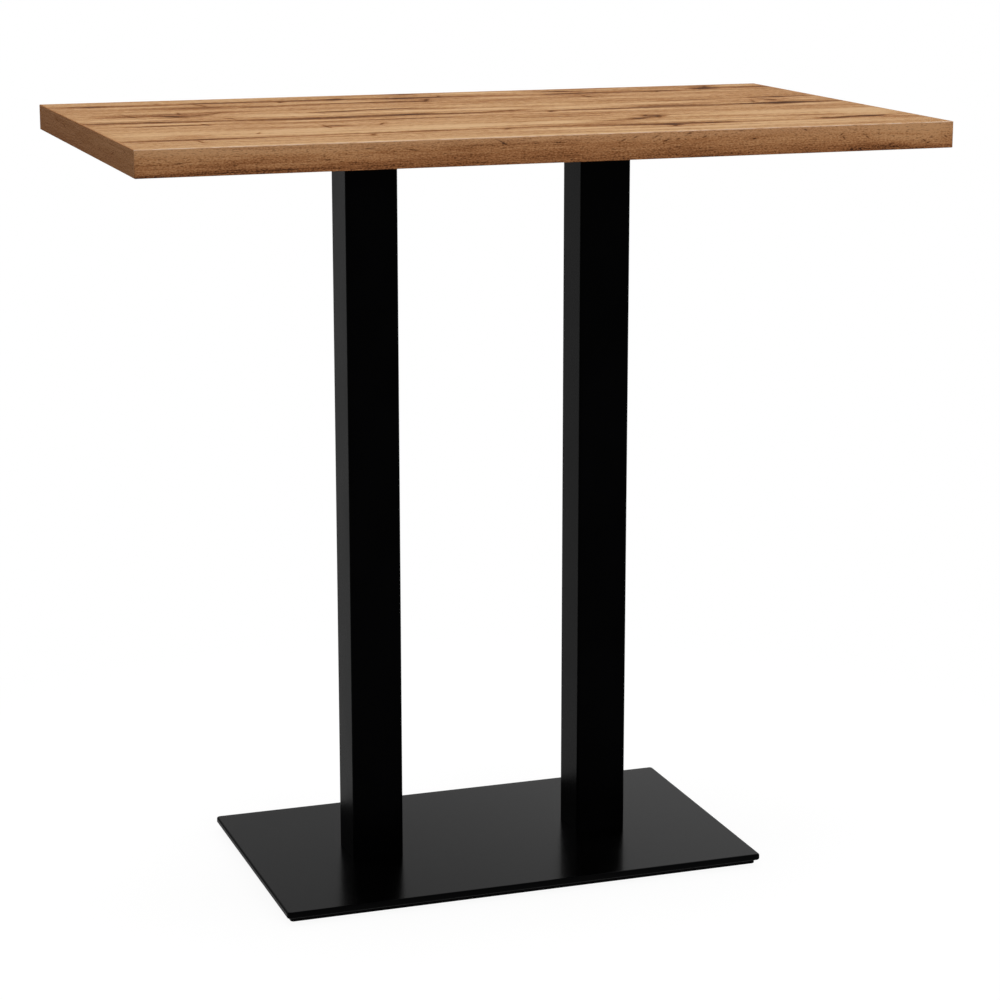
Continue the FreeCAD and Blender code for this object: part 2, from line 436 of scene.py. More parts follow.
@dataclass(frozen=True)
class OakFigure:
    """The figure of one oak-look face: its bands, knots and checks, and the grain round them."""

    seed: float
    bands: tuple[Mark, ...]
    knots: tuple[Mark, ...]
    checks: tuple[Mark, ...]
    grain: OakGrain = OakGrain()

    def darkness(self, place: Wire) -> tuple[Wire, Wire]:
        """Works out how dark the wood is over the face.

        Args:
            place: The place on the face, in metres along and down.

        Returns:
            The darkness, which is 1 in a knot, and the depth of its pores and checks.
        """
        grain = self.grain
        flat = place.vector("MULTIPLY", (1.0, 1.0, 0.0))
        seeded = flat.vector("ADD", (self.seed, self.seed, self.seed))
        sway = seeded.noise(grain.sway) - 0.5
        bent = seeded.vector("ADD", self.down_by(sway * grain.sway_reach))
        for knot in self.knots:
            bent = bent.vector("ADD", self.down_by(self.bulge(flat, knot)))
        broad = bent.noise(grain.broad) - 0.5
        line = bent.noise(grain.line) - 0.5
        fine = bent.noise(grain.fine) - 0.5
        fleck = bent.noise(grain.fleck).ease(*grain.fleck_reach)
        streak = line * grain.line_contrast + fine * grain.fine_contrast + 1.0
        total = broad * grain.broad_share + line * grain.line_share + fine * grain.fine_share
        total = total + grain.ground
        total = total + self.rings(bent, broad) * grain.ring_share
        total = total + self.band_depth(flat, seeded) * streak * grain.band_share
        ragged = grain.knot_rag.shift(flat, seeded)
        jagged = grain.check_rag.shift(flat, seeded, grain.jag)
        check_depth = self.check_depth(jagged)
        total = total + self.knot_depth(ragged) * streak * grain.knot_share
        grit = seeded.noise(grain.grit) - 0.5
        total = total + fleck * grain.fleck_share + grit * grain.grit_share
        total = total + check_depth * streak * grain.check_share
        return total, (fleck * grain.fleck_relief).most(check_depth)

    def rings(self, bent: Wire, broad: Wire) -> Wire:
        """Growth rings: lines that darken slowly and end sharply, in patches.

        Args:
            bent: The place with the grain's sway in it.
            broad: The broad streaks, which crowd the rings together.

        Returns:
            The rings' darkness from 0 to 1.
        """
        grain = self.grain
        phase = bent.axis("Y") * grain.rings_per_metre + broad * grain.ring_crowding
        climb = phase.fraction()
        line = climb.ease(*grain.ring_climb) * climb.ease(*grain.ring_end, 1.0, 0.0)
        return line * bent.noise(grain.ring_patches).ease(*grain.ring_patch_reach)

    @staticmethod
    def down_by(amount: Wire) -> Wire:
        """A vector down the face by an amount."""
        return amount.bench.node("ShaderNodeCombineXYZ", None, {"Y": amount})

    def bulge(self, place: Wire, knot: Mark) -> Wire:
        """How far the grain is pushed aside to flow round a knot.

        Args:
            place: The place on the face.
            knot: The knot.

        Returns:
            The shift down the face, in metres.
        """
        grain = self.grain
        half_length, half_width = knot.half_length * grain.bulge_length, knot.half_width * grain.bulge_width
        wide = Mark(knot.along, knot.down, half_length, half_width)
        near = wide.nearness(place).ease(*grain.bulge_reach, grain.bulge_share, 0.0)
        return (knot.down * MM - place.axis("Y")) * near

    def band_depth(self, place: Wire, seeded: Wire) -> Wire:
        """Adds up the bands, one by one, because a shader can't hold them all open at once.

        Args:
            place: The place on the face.
            seeded: Where the noise of their outlines is read.

        Returns:
            Their sum, dark above zero and light below.
        """
        wavy = self.grain.band_rag.shift(place, seeded)
        total = None
        for band in self.bands:
            one = band.nearness(wavy).ease(*self.grain.band_edge, band.depth, 0.0)
            total = one if total is None else total + one
        return total

    def knot_depth(self, place: Wire) -> Wire:
        """How deep in a knot a place is.

        Args:
            place: The place on the face.

        Returns:
            1 in a knot's core, and less in its halo and its ripples.
        """
        grain = self.grain
        near = self.nearest(place, self.knots)
        core = near.ease(*grain.knot_core, 1.0, 0.0)
        halo = near.ease(*grain.knot_halo, grain.halo_share, 0.0)
        ripple = (near * grain.knot_ripples).sine() * halo * grain.ripple_share
        return core.most(halo) + ripple

    def check_depth(self, place: Wire) -> Wire:
        """How deep in a check a place is.

        Args:
            place: The place on the face.

        Returns:
            1 in a check's core, and little in the stain along it.
        """
        grain = self.grain
        near = self.nearest(place, self.checks)
        core = near.ease(*grain.check_core, 1.0 - grain.stain_share, 0.0)
        return core + near.ease(*grain.check_stain, grain.stain_share, 0.0)

    @staticmethod
    def nearest(place: Wire, marks: tuple[Mark, ...]) -> Wire:
        """The smallest nearness of several marks, found one by one.

        Args:
            place: The place on the face.
            marks: The marks.

        Returns:
            0 at a mark's centre and 1 on its outline.
        """
        total = marks[0].nearness(place)
        for mark in marks[1:]:
            total = total.least(mark.nearness(place))
        return total


TOP_FIGURE = OakFigure(
    seed=3.0,
    bands=(
        Mark(58, 72, 70, 15, 0.34), Mark(150, 76, 90, 12, 0.34), Mark(255, 70, 60, 14, 0.56),
        Mark(345, 70, 80, 13, 0.40), Mark(455, 70, 90, 14, 0.40), Mark(560, 80, 70, 18, 0.42),
        Mark(575, 12, 34, 8, 0.30), Mark(562, 38, 40, 18, 0.12), Mark(650, 78, 80, 14, 0.26),
        Mark(760, 86, 70, 7, 0.20), Mark(836, 46, 52, 15, 0.42, 8), Mark(845, 84, 60, 14, 0.46),
        Mark(925, 70, 70, 16, 0.16), Mark(940, 88, 80, 10, 0.24), Mark(850, 132, 60, 26, 0.16),
        Mark(1000, 84, 50, 10, 0.34), Mark(1082, 62, 34, 18, 0.34, -20), Mark(1165, 64, 70, 12, 0.42),
        Mark(40, 148, 60, 12, 0.10), Mark(235, 142, 160, 28, 0.32), Mark(258, 152, 36, 9, -0.18),
        Mark(420, 136, 80, 16, 0.24), Mark(530, 140, 90, 17, 0.38, 3), Mark(700, 150, 160, 22, 0.08),
        Mark(85, 240, 60, 34, 0.20), Mark(160, 244, 60, 34, 0.26), Mark(156, 274, 44, 18, 0.32),
        Mark(240, 220, 60, 16, 0.18), Mark(370, 222, 70, 5, 0.16, 5), Mark(400, 264, 56, 10, 0.50, -6),
        Mark(475, 251, 56, 10, 0.54, -3), Mark(550, 262, 50, 8, 0.34, 8),
        Mark(965, 256, 80, 9, 0.28, -2), Mark(1130, 244, 70, 16, 0.36), Mark(60, 344, 80, 12, 0.50, 2),
        Mark(150, 350, 70, 14, 0.42), Mark(290, 356, 120, 16, 0.38, 2),
        Mark(430, 348, 110, 19, 0.44, -3), Mark(495, 338, 42, 14, 0.34), Mark(560, 350, 70, 13, 0.38),
        Mark(645, 336, 50, 14, 0.40, -8), Mark(710, 356, 60, 8, 0.28), Mark(800, 352, 90, 12, 0.44),
        Mark(868, 350, 46, 14, 0.26, -4), Mark(925, 336, 90, 19, 0.40, 3), Mark(930, 352, 80, 12, 0.32),
        Mark(1035, 342, 50, 12, 0.42), Mark(1120, 338, 90, 18, 0.46), Mark(1095, 400, 40, 8, 0.18),
        Mark(115, 402, 80, 9, 0.32, 1), Mark(300, 410, 150, 12, 0.14), Mark(480, 406, 120, 9, 0.28),
        Mark(380, 426, 130, 12, 0.12), Mark(760, 408, 180, 20, 0.11), Mark(700, 445, 130, 9, 0.28, 2),
        Mark(850, 446, 60, 12, 0.14), Mark(250, 470, 80, 12, 0.14, 4), Mark(345, 474, 26, 9, 0.26),
        Mark(800, 500, 70, 13, 0.26, -24), Mark(1040, 540, 70, 8, 0.20, 4),
        Mark(920, 512, 80, 5, 0.16, 3), Mark(110, 558, 50, 22, 0.18), Mark(50, 598, 80, 13, 0.38),
        Mark(150, 597, 100, 12, 0.36, -1), Mark(300, 592, 100, 10, 0.40, -2),
        Mark(450, 588, 120, 12, 0.28, -3), Mark(580, 586, 74, 13, 0.44),
        Mark(700, 588, 110, 20, 0.36, 7), Mark(785, 604, 60, 18, 0.30, 12),
        Mark(852, 598, 60, 13, 0.44, 5), Mark(950, 600, 60, 5, 0.24), Mark(1095, 588, 76, 14, 0.60, -8),
        Mark(1160, 600, 60, 16, 0.24, 8), Mark(610, 108, 90, 8, 0.10), Mark(1085, 676, 30, 5, 0.22),
        Mark(200, 30, 260, 16, -0.12), Mark(700, 28, 90, 16, -0.30), Mark(950, 26, 70, 10, -0.10),
        Mark(1160, 24, 50, 14, -0.36), Mark(100, 104, 130, 6, -0.22), Mark(420, 106, 150, 7, -0.24, 3),
        Mark(720, 116, 70, 10, -0.24, 3), Mark(1080, 112, 110, 9, -0.20),
        Mark(930, 180, 180, 28, -0.16), Mark(300, 290, 70, 30, -0.18), Mark(450, 236, 60, 6, -0.22),
        Mark(620, 236, 70, 14, -0.14), Mark(745, 246, 50, 26, -0.12), Mark(60, 302, 80, 12, -0.28),
        Mark(350, 304, 80, 10, -0.22), Mark(520, 292, 150, 16, -0.32), Mark(640, 296, 60, 14, -0.30),
        Mark(770, 306, 90, 20, -0.24), Mark(900, 288, 120, 14, -0.30), Mark(1160, 290, 34, 10, -0.22),
        Mark(100, 374, 110, 7, -0.30, 4), Mark(330, 388, 70, 7, -0.34), Mark(560, 378, 110, 6, -0.30),
        Mark(790, 378, 160, 7, -0.30, 1), Mark(1140, 372, 60, 7, -0.32), Mark(90, 508, 120, 26, -0.22),
        Mark(450, 482, 90, 12, -0.16), Mark(270, 522, 110, 32, -0.29), Mark(480, 532, 150, 30, -0.30),
        Mark(45, 528, 60, 12, -0.14), Mark(655, 530, 60, 28, -0.24), Mark(860, 488, 40, 10, -0.16),
        Mark(1030, 482, 170, 30, -0.30), Mark(1150, 500, 60, 60, -0.26),
        Mark(1040, 520, 120, 12, -0.12), Mark(300, 562, 280, 14, -0.26), Mark(860, 560, 130, 12, -0.28),
        Mark(960, 568, 50, 12, -0.20), Mark(640, 622, 80, 12, -0.24), Mark(990, 624, 170, 16, -0.26),
        Mark(910, 652, 300, 14, -0.30, -1), Mark(120, 652, 150, 18, 0.09), Mark(340, 644, 90, 10, 0.05),
        # The last mark, a light strip along the whole front edge of the upper face, is a painted highlight
        # of the front arris.
        Mark(850, 668, 60, 12, -0.10), Mark(600, 692, 640, 10, -0.28),
    ),
    knots=(
        Mark(1092, 344, 20, 14), Mark(1098, 296, 8, 9), Mark(1130, 244, 7, 4.5), Mark(452, 66, 11, 8),
        Mark(556, 84, 12, 8), Mark(579, 12, 10, 5), Mark(1086, 48, 15, 20), Mark(836, 42, 10, 6),
        Mark(808, 92, 9, 6), Mark(152, 266, 13, 9), Mark(192, 260, 7, 6), Mark(338, 472, 8, 7),
        Mark(822, 478, 12, 11), Mark(784, 514, 9, 6), Mark(800, 612, 8, 10), Mark(1126, 580, 14, 6),
        Mark(1050, 590, 10, 5), Mark(498, 344, 13, 8), Mark(706, 362, 6, 7), Mark(355, 604, 6, 7),
        Mark(168, 54, 6, 5), Mark(66, 76, 9, 6),
    ),
    checks=(
        Mark(584, 126, 24, 5.0, turn=-68), Mark(229, 100, 27, 4.0, turn=76),
        Mark(358, 88, 12, 4.5, turn=-72), Mark(208, 245, 36, 5.0, turn=-38),
        Mark(150, 268, 20, 6.0, turn=50), Mark(92, 252, 22, 3.0, turn=76),
        Mark(168, 222, 14, 2.2, turn=-84), Mark(222, 318, 17, 3.0, turn=66),
        Mark(112, 340, 26, 4.0, turn=14), Mark(450, 72, 18, 6.0, turn=-60),
        Mark(622, 68, 10, 3.5, turn=-78), Mark(985, 95, 10, 3.5, turn=-66),
        Mark(1092, 42, 26, 5.5, turn=-68), Mark(1075, 66, 18, 5.0, turn=-50),
        Mark(847, 138, 22, 4.0, turn=84), Mark(1092, 276, 22, 4.0, turn=68),
        Mark(1060, 308, 14, 3.0, turn=-74), Mark(1092, 344, 26, 6.0, turn=-42),
        Mark(496, 346, 18, 5.0, turn=6), Mark(704, 366, 12, 4.0, turn=-62),
        Mark(166, 396, 20, 2.4, turn=76), Mark(324, 480, 24, 3.2, turn=88),
        Mark(408, 468, 18, 3.0, turn=-62), Mark(209, 539, 14, 2.4, turn=-64),
        Mark(812, 474, 10, 4.0, turn=-60), Mark(826, 492, 22, 5.0, turn=-66),
        Mark(792, 510, 28, 4.0, turn=-35), Mark(745, 527, 26, 4.0, turn=-8),
        Mark(107, 628, 16, 3.0, turn=86), Mark(120, 598, 12, 4.0, turn=14),
        Mark(355, 606, 12, 4.0, turn=-62), Mark(556, 592, 12, 4.0, turn=-50),
        Mark(638, 588, 20, 4.0, turn=16), Mark(797, 626, 12, 4.0, turn=-60),
        Mark(816, 598, 26, 6.0, turn=14), Mark(862, 604, 16, 5.0), Mark(1050, 588, 10, 5.0, turn=14),
        Mark(1075, 590, 20, 4.0, turn=-30), Mark(1128, 582, 20, 5.0, turn=14),
    ),
)

EDGE_GRAIN = OakGrain(
    ground=0.335,
    broad_share=0.35,
    line_share=0.7,
    fleck_share=0.14,
    grit_share=1.4,
    fleck_reach=(0.60, 0.66),
    jag=0.35,
    fleck=Clouds((130.0, 780.0, 1.0), 1.0),
    grit=Clouds((300.0, 560.0, 1.0), 2.0, 0.6),
)

END_GRAIN = replace(EDGE_GRAIN, ground=0.385, broad_share=0.20, line_share=0.45)

FRONT_FIGURE = OakFigure(
    seed=11.0,
    grain=EDGE_GRAIN,
    bands=(
        Mark(160, 33, 80, 5, 0.10), Mark(110, 27, 30, 5, 0.08), Mark(300, 30, 90, 4, 0.10),
        Mark(420, 34, 120, 4, 0.07), Mark(470, 12, 70, 5, 0.12), Mark(590, 11, 60, 4, 0.16),
        Mark(640, 30, 140, 6, 0.10), Mark(820, 34, 100, 5, 0.06), Mark(970, 33, 50, 5, 0.08),
        Mark(1070, 33, 60, 5, 0.10), Mark(1160, 35, 50, 4, 0.07), Mark(480, 24, 130, 10, 0.06),
        Mark(540, 15, 620, 9, 0.05), Mark(90, 12, 130, 12, -0.16), Mark(40, 29, 60, 4, -0.12),
        Mark(250, 16, 130, 13, -0.14), Mark(860, 18, 120, 7, -0.10), Mark(1010, 14, 140, 8, -0.10),
        Mark(1140, 16, 80, 16, -0.24), Mark(728, 10, 75, 8, -0.18), Mark(800, 25, 110, 5, 0.14),
        Mark(760, 37, 330, 3, 0.14), Mark(450, 37, 120, 3, 0.08), Mark(330, 13, 70, 5, 0.11),
        Mark(530, 10, 36, 5, 0.11), Mark(450, 4, 60, 3, 0.09), Mark(80, 23, 70, 3, -0.12),
        Mark(125, 28, 30, 3, 0.10), Mark(525, 24, 70, 3, -0.09), Mark(1020, 32, 50, 3, -0.07),
        Mark(1120, 15, 40, 5, 0.10), Mark(1168, 30, 50, 4, -0.13),
    ),
    knots=(
        Mark(594, 10, 3.4, 1.3), Mark(603, 9.8, 2.4, 1.1), Mark(750, 13, 2.6, 1.1),
        Mark(790, 3, 3.0, 1.0), Mark(1039, 35, 2.2, 1.2), Mark(1050, 34, 2.2, 1.2),
    ),
    checks=(
        Mark(320, 9, 6, 0.6, turn=5), Mark(383, 13, 7, 0.6, turn=8), Mark(60, 20, 7, 0.6, turn=-4),
        Mark(262, 22, 6, 0.6, turn=6), Mark(510, 7, 8, 0.7, turn=28), Mark(688, 10, 4, 0.8, turn=-20),
        Mark(706, 7, 4, 0.8, turn=-20), Mark(737, 7, 4, 0.8, turn=-24), Mark(754, 12, 4, 0.9, turn=-18),
        Mark(770, 11, 3, 0.8, turn=-10), Mark(786, 4, 4, 0.8, turn=-14), Mark(811, 9, 3, 0.8, turn=-18),
        Mark(866, 3, 4, 0.7, turn=6), Mark(886, 15, 3, 0.8, turn=-8), Mark(965, 5, 3, 0.8, turn=25),
        Mark(1022, 13, 2.6, 0.8, turn=-30), Mark(1026, 18, 3, 0.8, turn=40),
        Mark(1063, 18, 3, 0.8, turn=34), Mark(1100, 30, 3, 0.7, turn=-14),
        Mark(1154, 26, 3, 0.8, turn=24), Mark(1160, 29, 3, 0.8, turn=-14),
        Mark(1188, 21, 2.5, 0.8, turn=30),
    ),
)

END_FIGURE = OakFigure(
    seed=23.0,
    grain=END_GRAIN,
    bands=(Mark(350, 33, 420, 6, 0.04), Mark(520, 9, 200, 6, -0.04), Mark(640, 19, 260, 60, -0.10)),
    knots=(Mark(150, 9, 4, 1.6), Mark(470, 21, 3, 1.2)),
    checks=(
        Mark(210, 14, 6, 0.6, turn=10), Mark(330, 27, 5, 0.5, turn=-6), Mark(560, 18, 6, 0.6, turn=-12),
        Mark(640, 8, 5, 0.5, turn=8),
    ),
)

BACK_FIGURE = OakFigure(
    seed=37.0,
    grain=EDGE_GRAIN,
    bands=(
        Mark(260, 31, 180, 6, 0.12), Mark(700, 34, 240, 5, 0.12), Mark(1010, 29, 120, 6, 0.12),
        Mark(480, 8, 220, 6, -0.10),
    ),
    knots=(Mark(340, 12, 5, 2.0), Mark(905, 24, 4, 1.6)),
    checks=(
        Mark(352, 16, 7, 0.7, turn=32), Mark(610, 7, 6, 0.6, turn=8), Mark(780, 15, 7, 0.6, turn=-24),
        Mark(1090, 11, 6, 0.6, turn=12),
    ),
)

EDGE_FIGURES = {
    Side.FRONT: FRONT_FIGURE,
    Side.BACK: BACK_FIGURE,
    Side.LEFT: END_FIGURE,
    Side.RIGHT: END_FIGURE,
}

OAK_TONES = [
    (0.00, from_screen(215, 176, 130)),
    (0.26, from_screen(204, 161, 113)),
    (0.46, from_screen(182, 135, 88)),
    (0.66, from_screen(158, 107, 61)),
    (0.84, from_screen(130, 82, 43)),
    (1.00, from_screen(98, 58, 28)),
    (1.60, from_screen(76, 46, 25)),
]

EDGE_TONES = [
    (0.00, from_screen(206, 155, 109)),
    (0.26, from_screen(189, 136, 91)),
    (0.46, from_screen(172, 118, 76)),
    (0.66, from_screen(151, 99, 61)),
    (0.84, from_screen(124, 78, 47)),
    (1.00, from_screen(70, 43, 30)),
]


@dataclass(frozen=True)
class OakFace:
    """Satin oak-look decor on a face whose grain runs along one axis of the frame."""

    name: str
    figure: OakFigure
    tones: Stops
    along: Place
    down: Place
    shift: Place
    span: float
    gradient: float
    specular: float = 0.008
    # The arris fields paint a highlight along the upper arris, with some edge wear: a soft paler band down
    # from it and a bright broken line on its bevel.
    arris_highlight_and_wear: float = 0.0
    arris_reach: float = 0.0013
    arris_breaks: Clouds = Clouds((26.0, 1.0, 1.0))
    break_reach: Reach = (0.42, 0.54)
    least_highlight: float = 0.4
    arris_highlight_tone: Colour = from_screen(226, 182, 140)
    bevel_highlight_tone: Colour = from_screen(250, 228, 204)
    highlight_fade_share: float = 0.18
    highlight_fade_reach: float = 0.014
    pore_share: float = 0.0
    pore_tone: Colour = from_screen(70, 43, 30)
    pore_depth: float = 0.00012
    hue: Clouds = Clouds((2.0, 30.0, 1.0))
    hue_reach: Reach = (0.35, 0.65)
    hue_share: float = 0.10
    hue_tone: Colour = from_screen(196, 132, 84)
    sheen_reach: Reach = (0.2, 0.9)
    roughness: Reach = (0.46, 0.56)
    pore_roughness: float = 0.08

    def material(self) -> bpy.types.Material:
        """Makes the material.

        Returns:
            The finished material.
        """
        bench = Bench.for_material(self.name)
        place = self.face_place(bench)
        darkness, relief = self.figure.darkness(place)
        down = place.axis("Y")
        darkness = darkness + (down * (1 / self.span) - 0.5) * self.gradient
        colour = self.toned(darkness)
        if self.pore_share:
            colour = bench.mix(relief * self.pore_share, colour, self.pore_tone)
        if self.arris_highlight_and_wear:
            # Painted highlight along the upper arris, with some edge wear.
            colour = self.highlit_and_worn(place, down, colour)
        hue = place.noise(self.hue).ease(*self.hue_reach)
        colour = bench.mix(hue * self.hue_share, colour, self.hue_tone, "MULTIPLY")
        roughness = darkness.ease(*self.sheen_reach, *self.roughness) + relief * self.pore_roughness
        normal = bench.bump(1 - relief, self.pore_depth)
        return bench.finish(self.specular, base_color=colour, roughness=roughness, normal=normal)

    def face_place(self, bench: Bench) -> Wire:
        """The place on the face.

        Args:
            bench: The bench of the face's material.

        Returns:
            Metres along the grain as X and down across it as Y.
        """
        place = bench.surface_place().vector("ADD", self.shift)
        along = place.measure("DOT_PRODUCT", self.along)
        down = place.measure("DOT_PRODUCT", self.down)
        return bench.node("ShaderNodeCombineXYZ", None, {"X": along, "Y": down})

    def toned(self, darkness: Wire) -> Wire:
        """The wood's tone at a darkness.

        Args:
            darkness: The darkness, up to that of the last stop.

        Returns:
            The tone.
        """
        deepest = self.tones[-1][0]
        stops = [(depth / deepest, tone) for depth, tone in self.tones]
        return darkness.bench.node("ShaderNodeValToRGB", {"stops": stops}, {"Fac": darkness * (1 / deepest)})

    def highlit_and_worn(self, place: Wire, down: Wire, colour: Wire) -> Wire:
        """Paints a highlight along the upper arris, with some edge wear: pales the colour towards the arris,
        and most on its broken bevel.

        Args:
            place: The place on the face.
            down: How far down the face it is, in metres.
            colour: The colour of the wood.

        Returns:
            The paler colour.
        """
        # A soft painted highlight down from the arris, and a bright painted highlight on the bevel, broken
        # in places.
        soft_highlight = down.ease(0.0, self.highlight_fade_reach, self.highlight_fade_share, 0.0)
        broken = place.noise(self.arris_breaks).ease(*self.break_reach, self.least_highlight, 1.0)
        bevel = down.ease(0.5 * self.arris_reach, self.arris_reach, self.arris_highlight_and_wear, 0.0) * broken
        mix = place.bench.mix
        return mix(bevel, mix(soft_highlight, colour, self.arris_highlight_tone), self.bevel_highlight_tone)


@dataclass(frozen=True)
class PowderCoat:
    """Fine-texture satin black powder coat on steel.

    On a plate that was coated lying flat it may flow out: glossier to the right, and dull on the arrises.
    """

    name: str = "black_powder_coat"
    colour: Colour = (0.0006, 0.0006, 0.0007)
    paler_share: float = 1.9
    roughness: float = 0.25
    cloud_roughness: float = 0.14
    grain_roughness: float = 0.06
    specular: float = 0.008
    grain: Clouds = Clouds.even(1500.0)
    cloud: Clouds = Clouds.even(9.0, 3.0)
    cloud_reach: Reach = (0.3, 0.7)
    peel: Clouds = Clouds.even(260.0, 1.0)
    relief: float = 0.00003
    grain_relief: float = 0.6
    flow_gloss: float = 0.0
    flow_roughness: float = 0.1
    flow_reach: Reach = (-0.25, 0.40)
    arris_dulling: float = 0.42
    upright_dulling: float = 0.2
    level_reach: Reach = (0.80, 0.98)
    upright_reach: Reach = (0.05, 0.25)

    def material(self) -> bpy.types.Material:
        """Makes the material.

        Returns:
            The finished material.
        """
        bench = Bench.for_material(self.name)
        place = bench.surface_place()
        grain = place.noise(self.grain)
        cloud = place.noise(self.cloud)
        peel = place.noise(self.peel)
        paler = tuple(self.paler_share * channel for channel in self.colour)
        colour = bench.mix(cloud.ease(*self.cloud_reach), self.colour, paler)
        roughness = (cloud - 0.5) * self.cloud_roughness + grain * self.grain_roughness + self.roughness
        normal = bench.bump(grain * self.grain_relief + peel, self.relief)
        if not self.flow_gloss:
            return bench.finish(self.specular, base_color=colour, roughness=roughness, normal=normal)
        upward = bench.node("ShaderNodeTexCoord", output="Normal").axis("Z")
        level = upward.ease(*self.level_reach)
        dulling = upward.ease(*self.upright_reach, self.upright_dulling, self.arris_dulling)
        roughness = roughness + dulling * (1 - level)
        gloss = place.axis("X").ease(*self.flow_reach) * level * self.flow_gloss
        values = {"base_color": colour, "roughness": roughness, "normal": normal, "coat_weight": gloss}
        return bench.finish(self.specular, coat_roughness=self.flow_roughness, **values)


@dataclass(frozen=True)
class ZincPlate:
    """Bright zinc plating on steel fasteners."""

    name: str = "bright_zinc"
    colour: Colour = (0.56, 0.57, 0.58)
    tarnish: Colour = (0.44, 0.45, 0.47)
    cloud: Clouds = Clouds.even(220.0, 3.0)
    cloud_reach: Reach = (0.3, 0.7)
    tarnish_reach: Reach = (0.35, 0.7)
    roughness: Reach = (0.24, 0.38)
    scratch: Clouds = Clouds((2600.0, 300.0, 900.0), 1.0)
    scratch_roughness: float = 0.06
    relief: float = 0.00001

    def material(self) -> bpy.types.Material:
        """Makes the material.

        Returns:
            The finished material.
        """
        bench = Bench.for_material(self.name)
        place = bench.surface_place()
        cloud = place.noise(self.cloud)
        scratch = place.noise(self.scratch)
        colour = bench.mix(cloud.ease(*self.tarnish_reach), self.colour, self.tarnish)
        roughness = cloud.ease(*self.cloud_reach, *self.roughness) + scratch * self.scratch_roughness
        normal = bench.bump(scratch, self.relief)
        return bench.finish(metallic=1.0, base_color=colour, roughness=roughness, normal=normal)


@dataclass(frozen=True)
class MouldedPlastic:
    """Matt black moulded polyamide with a spark-eroded texture."""

    name: str = "black_polyamide"
    colour: Colour = (0.018, 0.018, 0.019)
    paler_share: float = 1.7
    roughness: float = 0.6
    spark_roughness: float = 0.12
    specular: float = 0.4
    spark: Clouds = Clouds.even(1900.0)
    cloud: Clouds = Clouds.even(70.0)
    cloud_reach: Reach = (0.3, 0.7)
    relief: float = 0.00004

    def material(self) -> bpy.types.Material:
        """Makes the material.

        Returns:
            The finished material.
        """
        bench = Bench.for_material(self.name)
        place = bench.surface_place()
        spark = place.noise(self.spark)
        cloud = place.noise(self.cloud)
        paler = tuple(self.paler_share * channel for channel in self.colour)
        colour = bench.mix(cloud.ease(*self.cloud_reach), self.colour, paler)
        roughness = (spark - 0.5) * self.spark_roughness + self.roughness
        normal = bench.bump(spark, self.relief)
        return bench.finish(self.specular, base_color=colour, roughness=roughness, normal=normal)


@dataclass(frozen=True)
class BalancingLaminate:
    """Matt balancing laminate with a faint paper mottle, under the tabletop."""

    name: str = "balancing_laminate"
    colour: Colour = from_screen(150, 112, 78)
    streak_tone: Colour = from_screen(118, 84, 56)
    specular: float = 0.3
    roughness: Reach = (0.56, 0.68)
    reach: Reach = (0.3, 0.7)
    streak: Clouds = Clouds((3.0, 90.0, 1.0), 3.0, 0.6)
    streak_share: float = 0.6
    mottle: Clouds = Clouds.even(160.0, 3.0, 0.6)
    mottle_share: float = 0.2
    fibre: Clouds = Clouds((40.0, 1100.0, 1.0))
    fibre_share: float = 0.3
    relief: float = 0.00003

    def material(self) -> bpy.types.Material:
        """Makes the material.

        Returns:
            The finished material.
        """
        bench = Bench.for_material(self.name)
        place = bench.surface_place()
        streak = place.noise(self.streak)
        mottle = place.noise(self.mottle)
        fibre = place.noise(self.fibre)
        tone = streak.ease(*self.reach) * self.streak_share
        tone = tone + mottle * self.mottle_share + fibre * self.fibre_share
        colour = bench.mix(tone, self.colour, self.streak_tone)
        roughness = mottle.ease(*self.reach, *self.roughness)
        normal = bench.bump(mottle + fibre, self.relief)
        return bench.finish(self.specular, base_color=colour, roughness=roughness, normal=normal)


@dataclass(frozen=True)
class PressedBoard:
    """Raw pressed particle board, seen only where the top is bored."""

    name: str = "pressed_board"
    colour: Colour = from_screen(196, 164, 120)
    chip_tone: Colour = from_screen(132, 98, 62)
    roughness: float = 0.85
    chip: Clouds = Clouds((500.0, 500.0, 900.0), 3.0, 0.7)
    chip_reach: Reach = (0.35, 0.65)
    relief: float = 0.0003

    def material(self) -> bpy.types.Material:
        """Makes the material.

        Returns:
            The finished material.
        """
        bench = Bench.for_material(self.name)
        chip = bench.surface_place().noise(self.chip)
        colour = bench.mix(chip.ease(*self.chip_reach), self.colour, self.chip_tone)
        normal = bench.bump(chip, self.relief)
        return bench.finish(base_color=colour, roughness=self.roughness, normal=normal)


def dress(node: str, material: bpy.types.Material) -> None:
    """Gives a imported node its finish.

    Args:
        node: The node's name.
        material: The finish.
    """
    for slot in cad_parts[node].material_slots:
        slot.material = material
    LOG.info("dressed %s in %s", node, material.name)


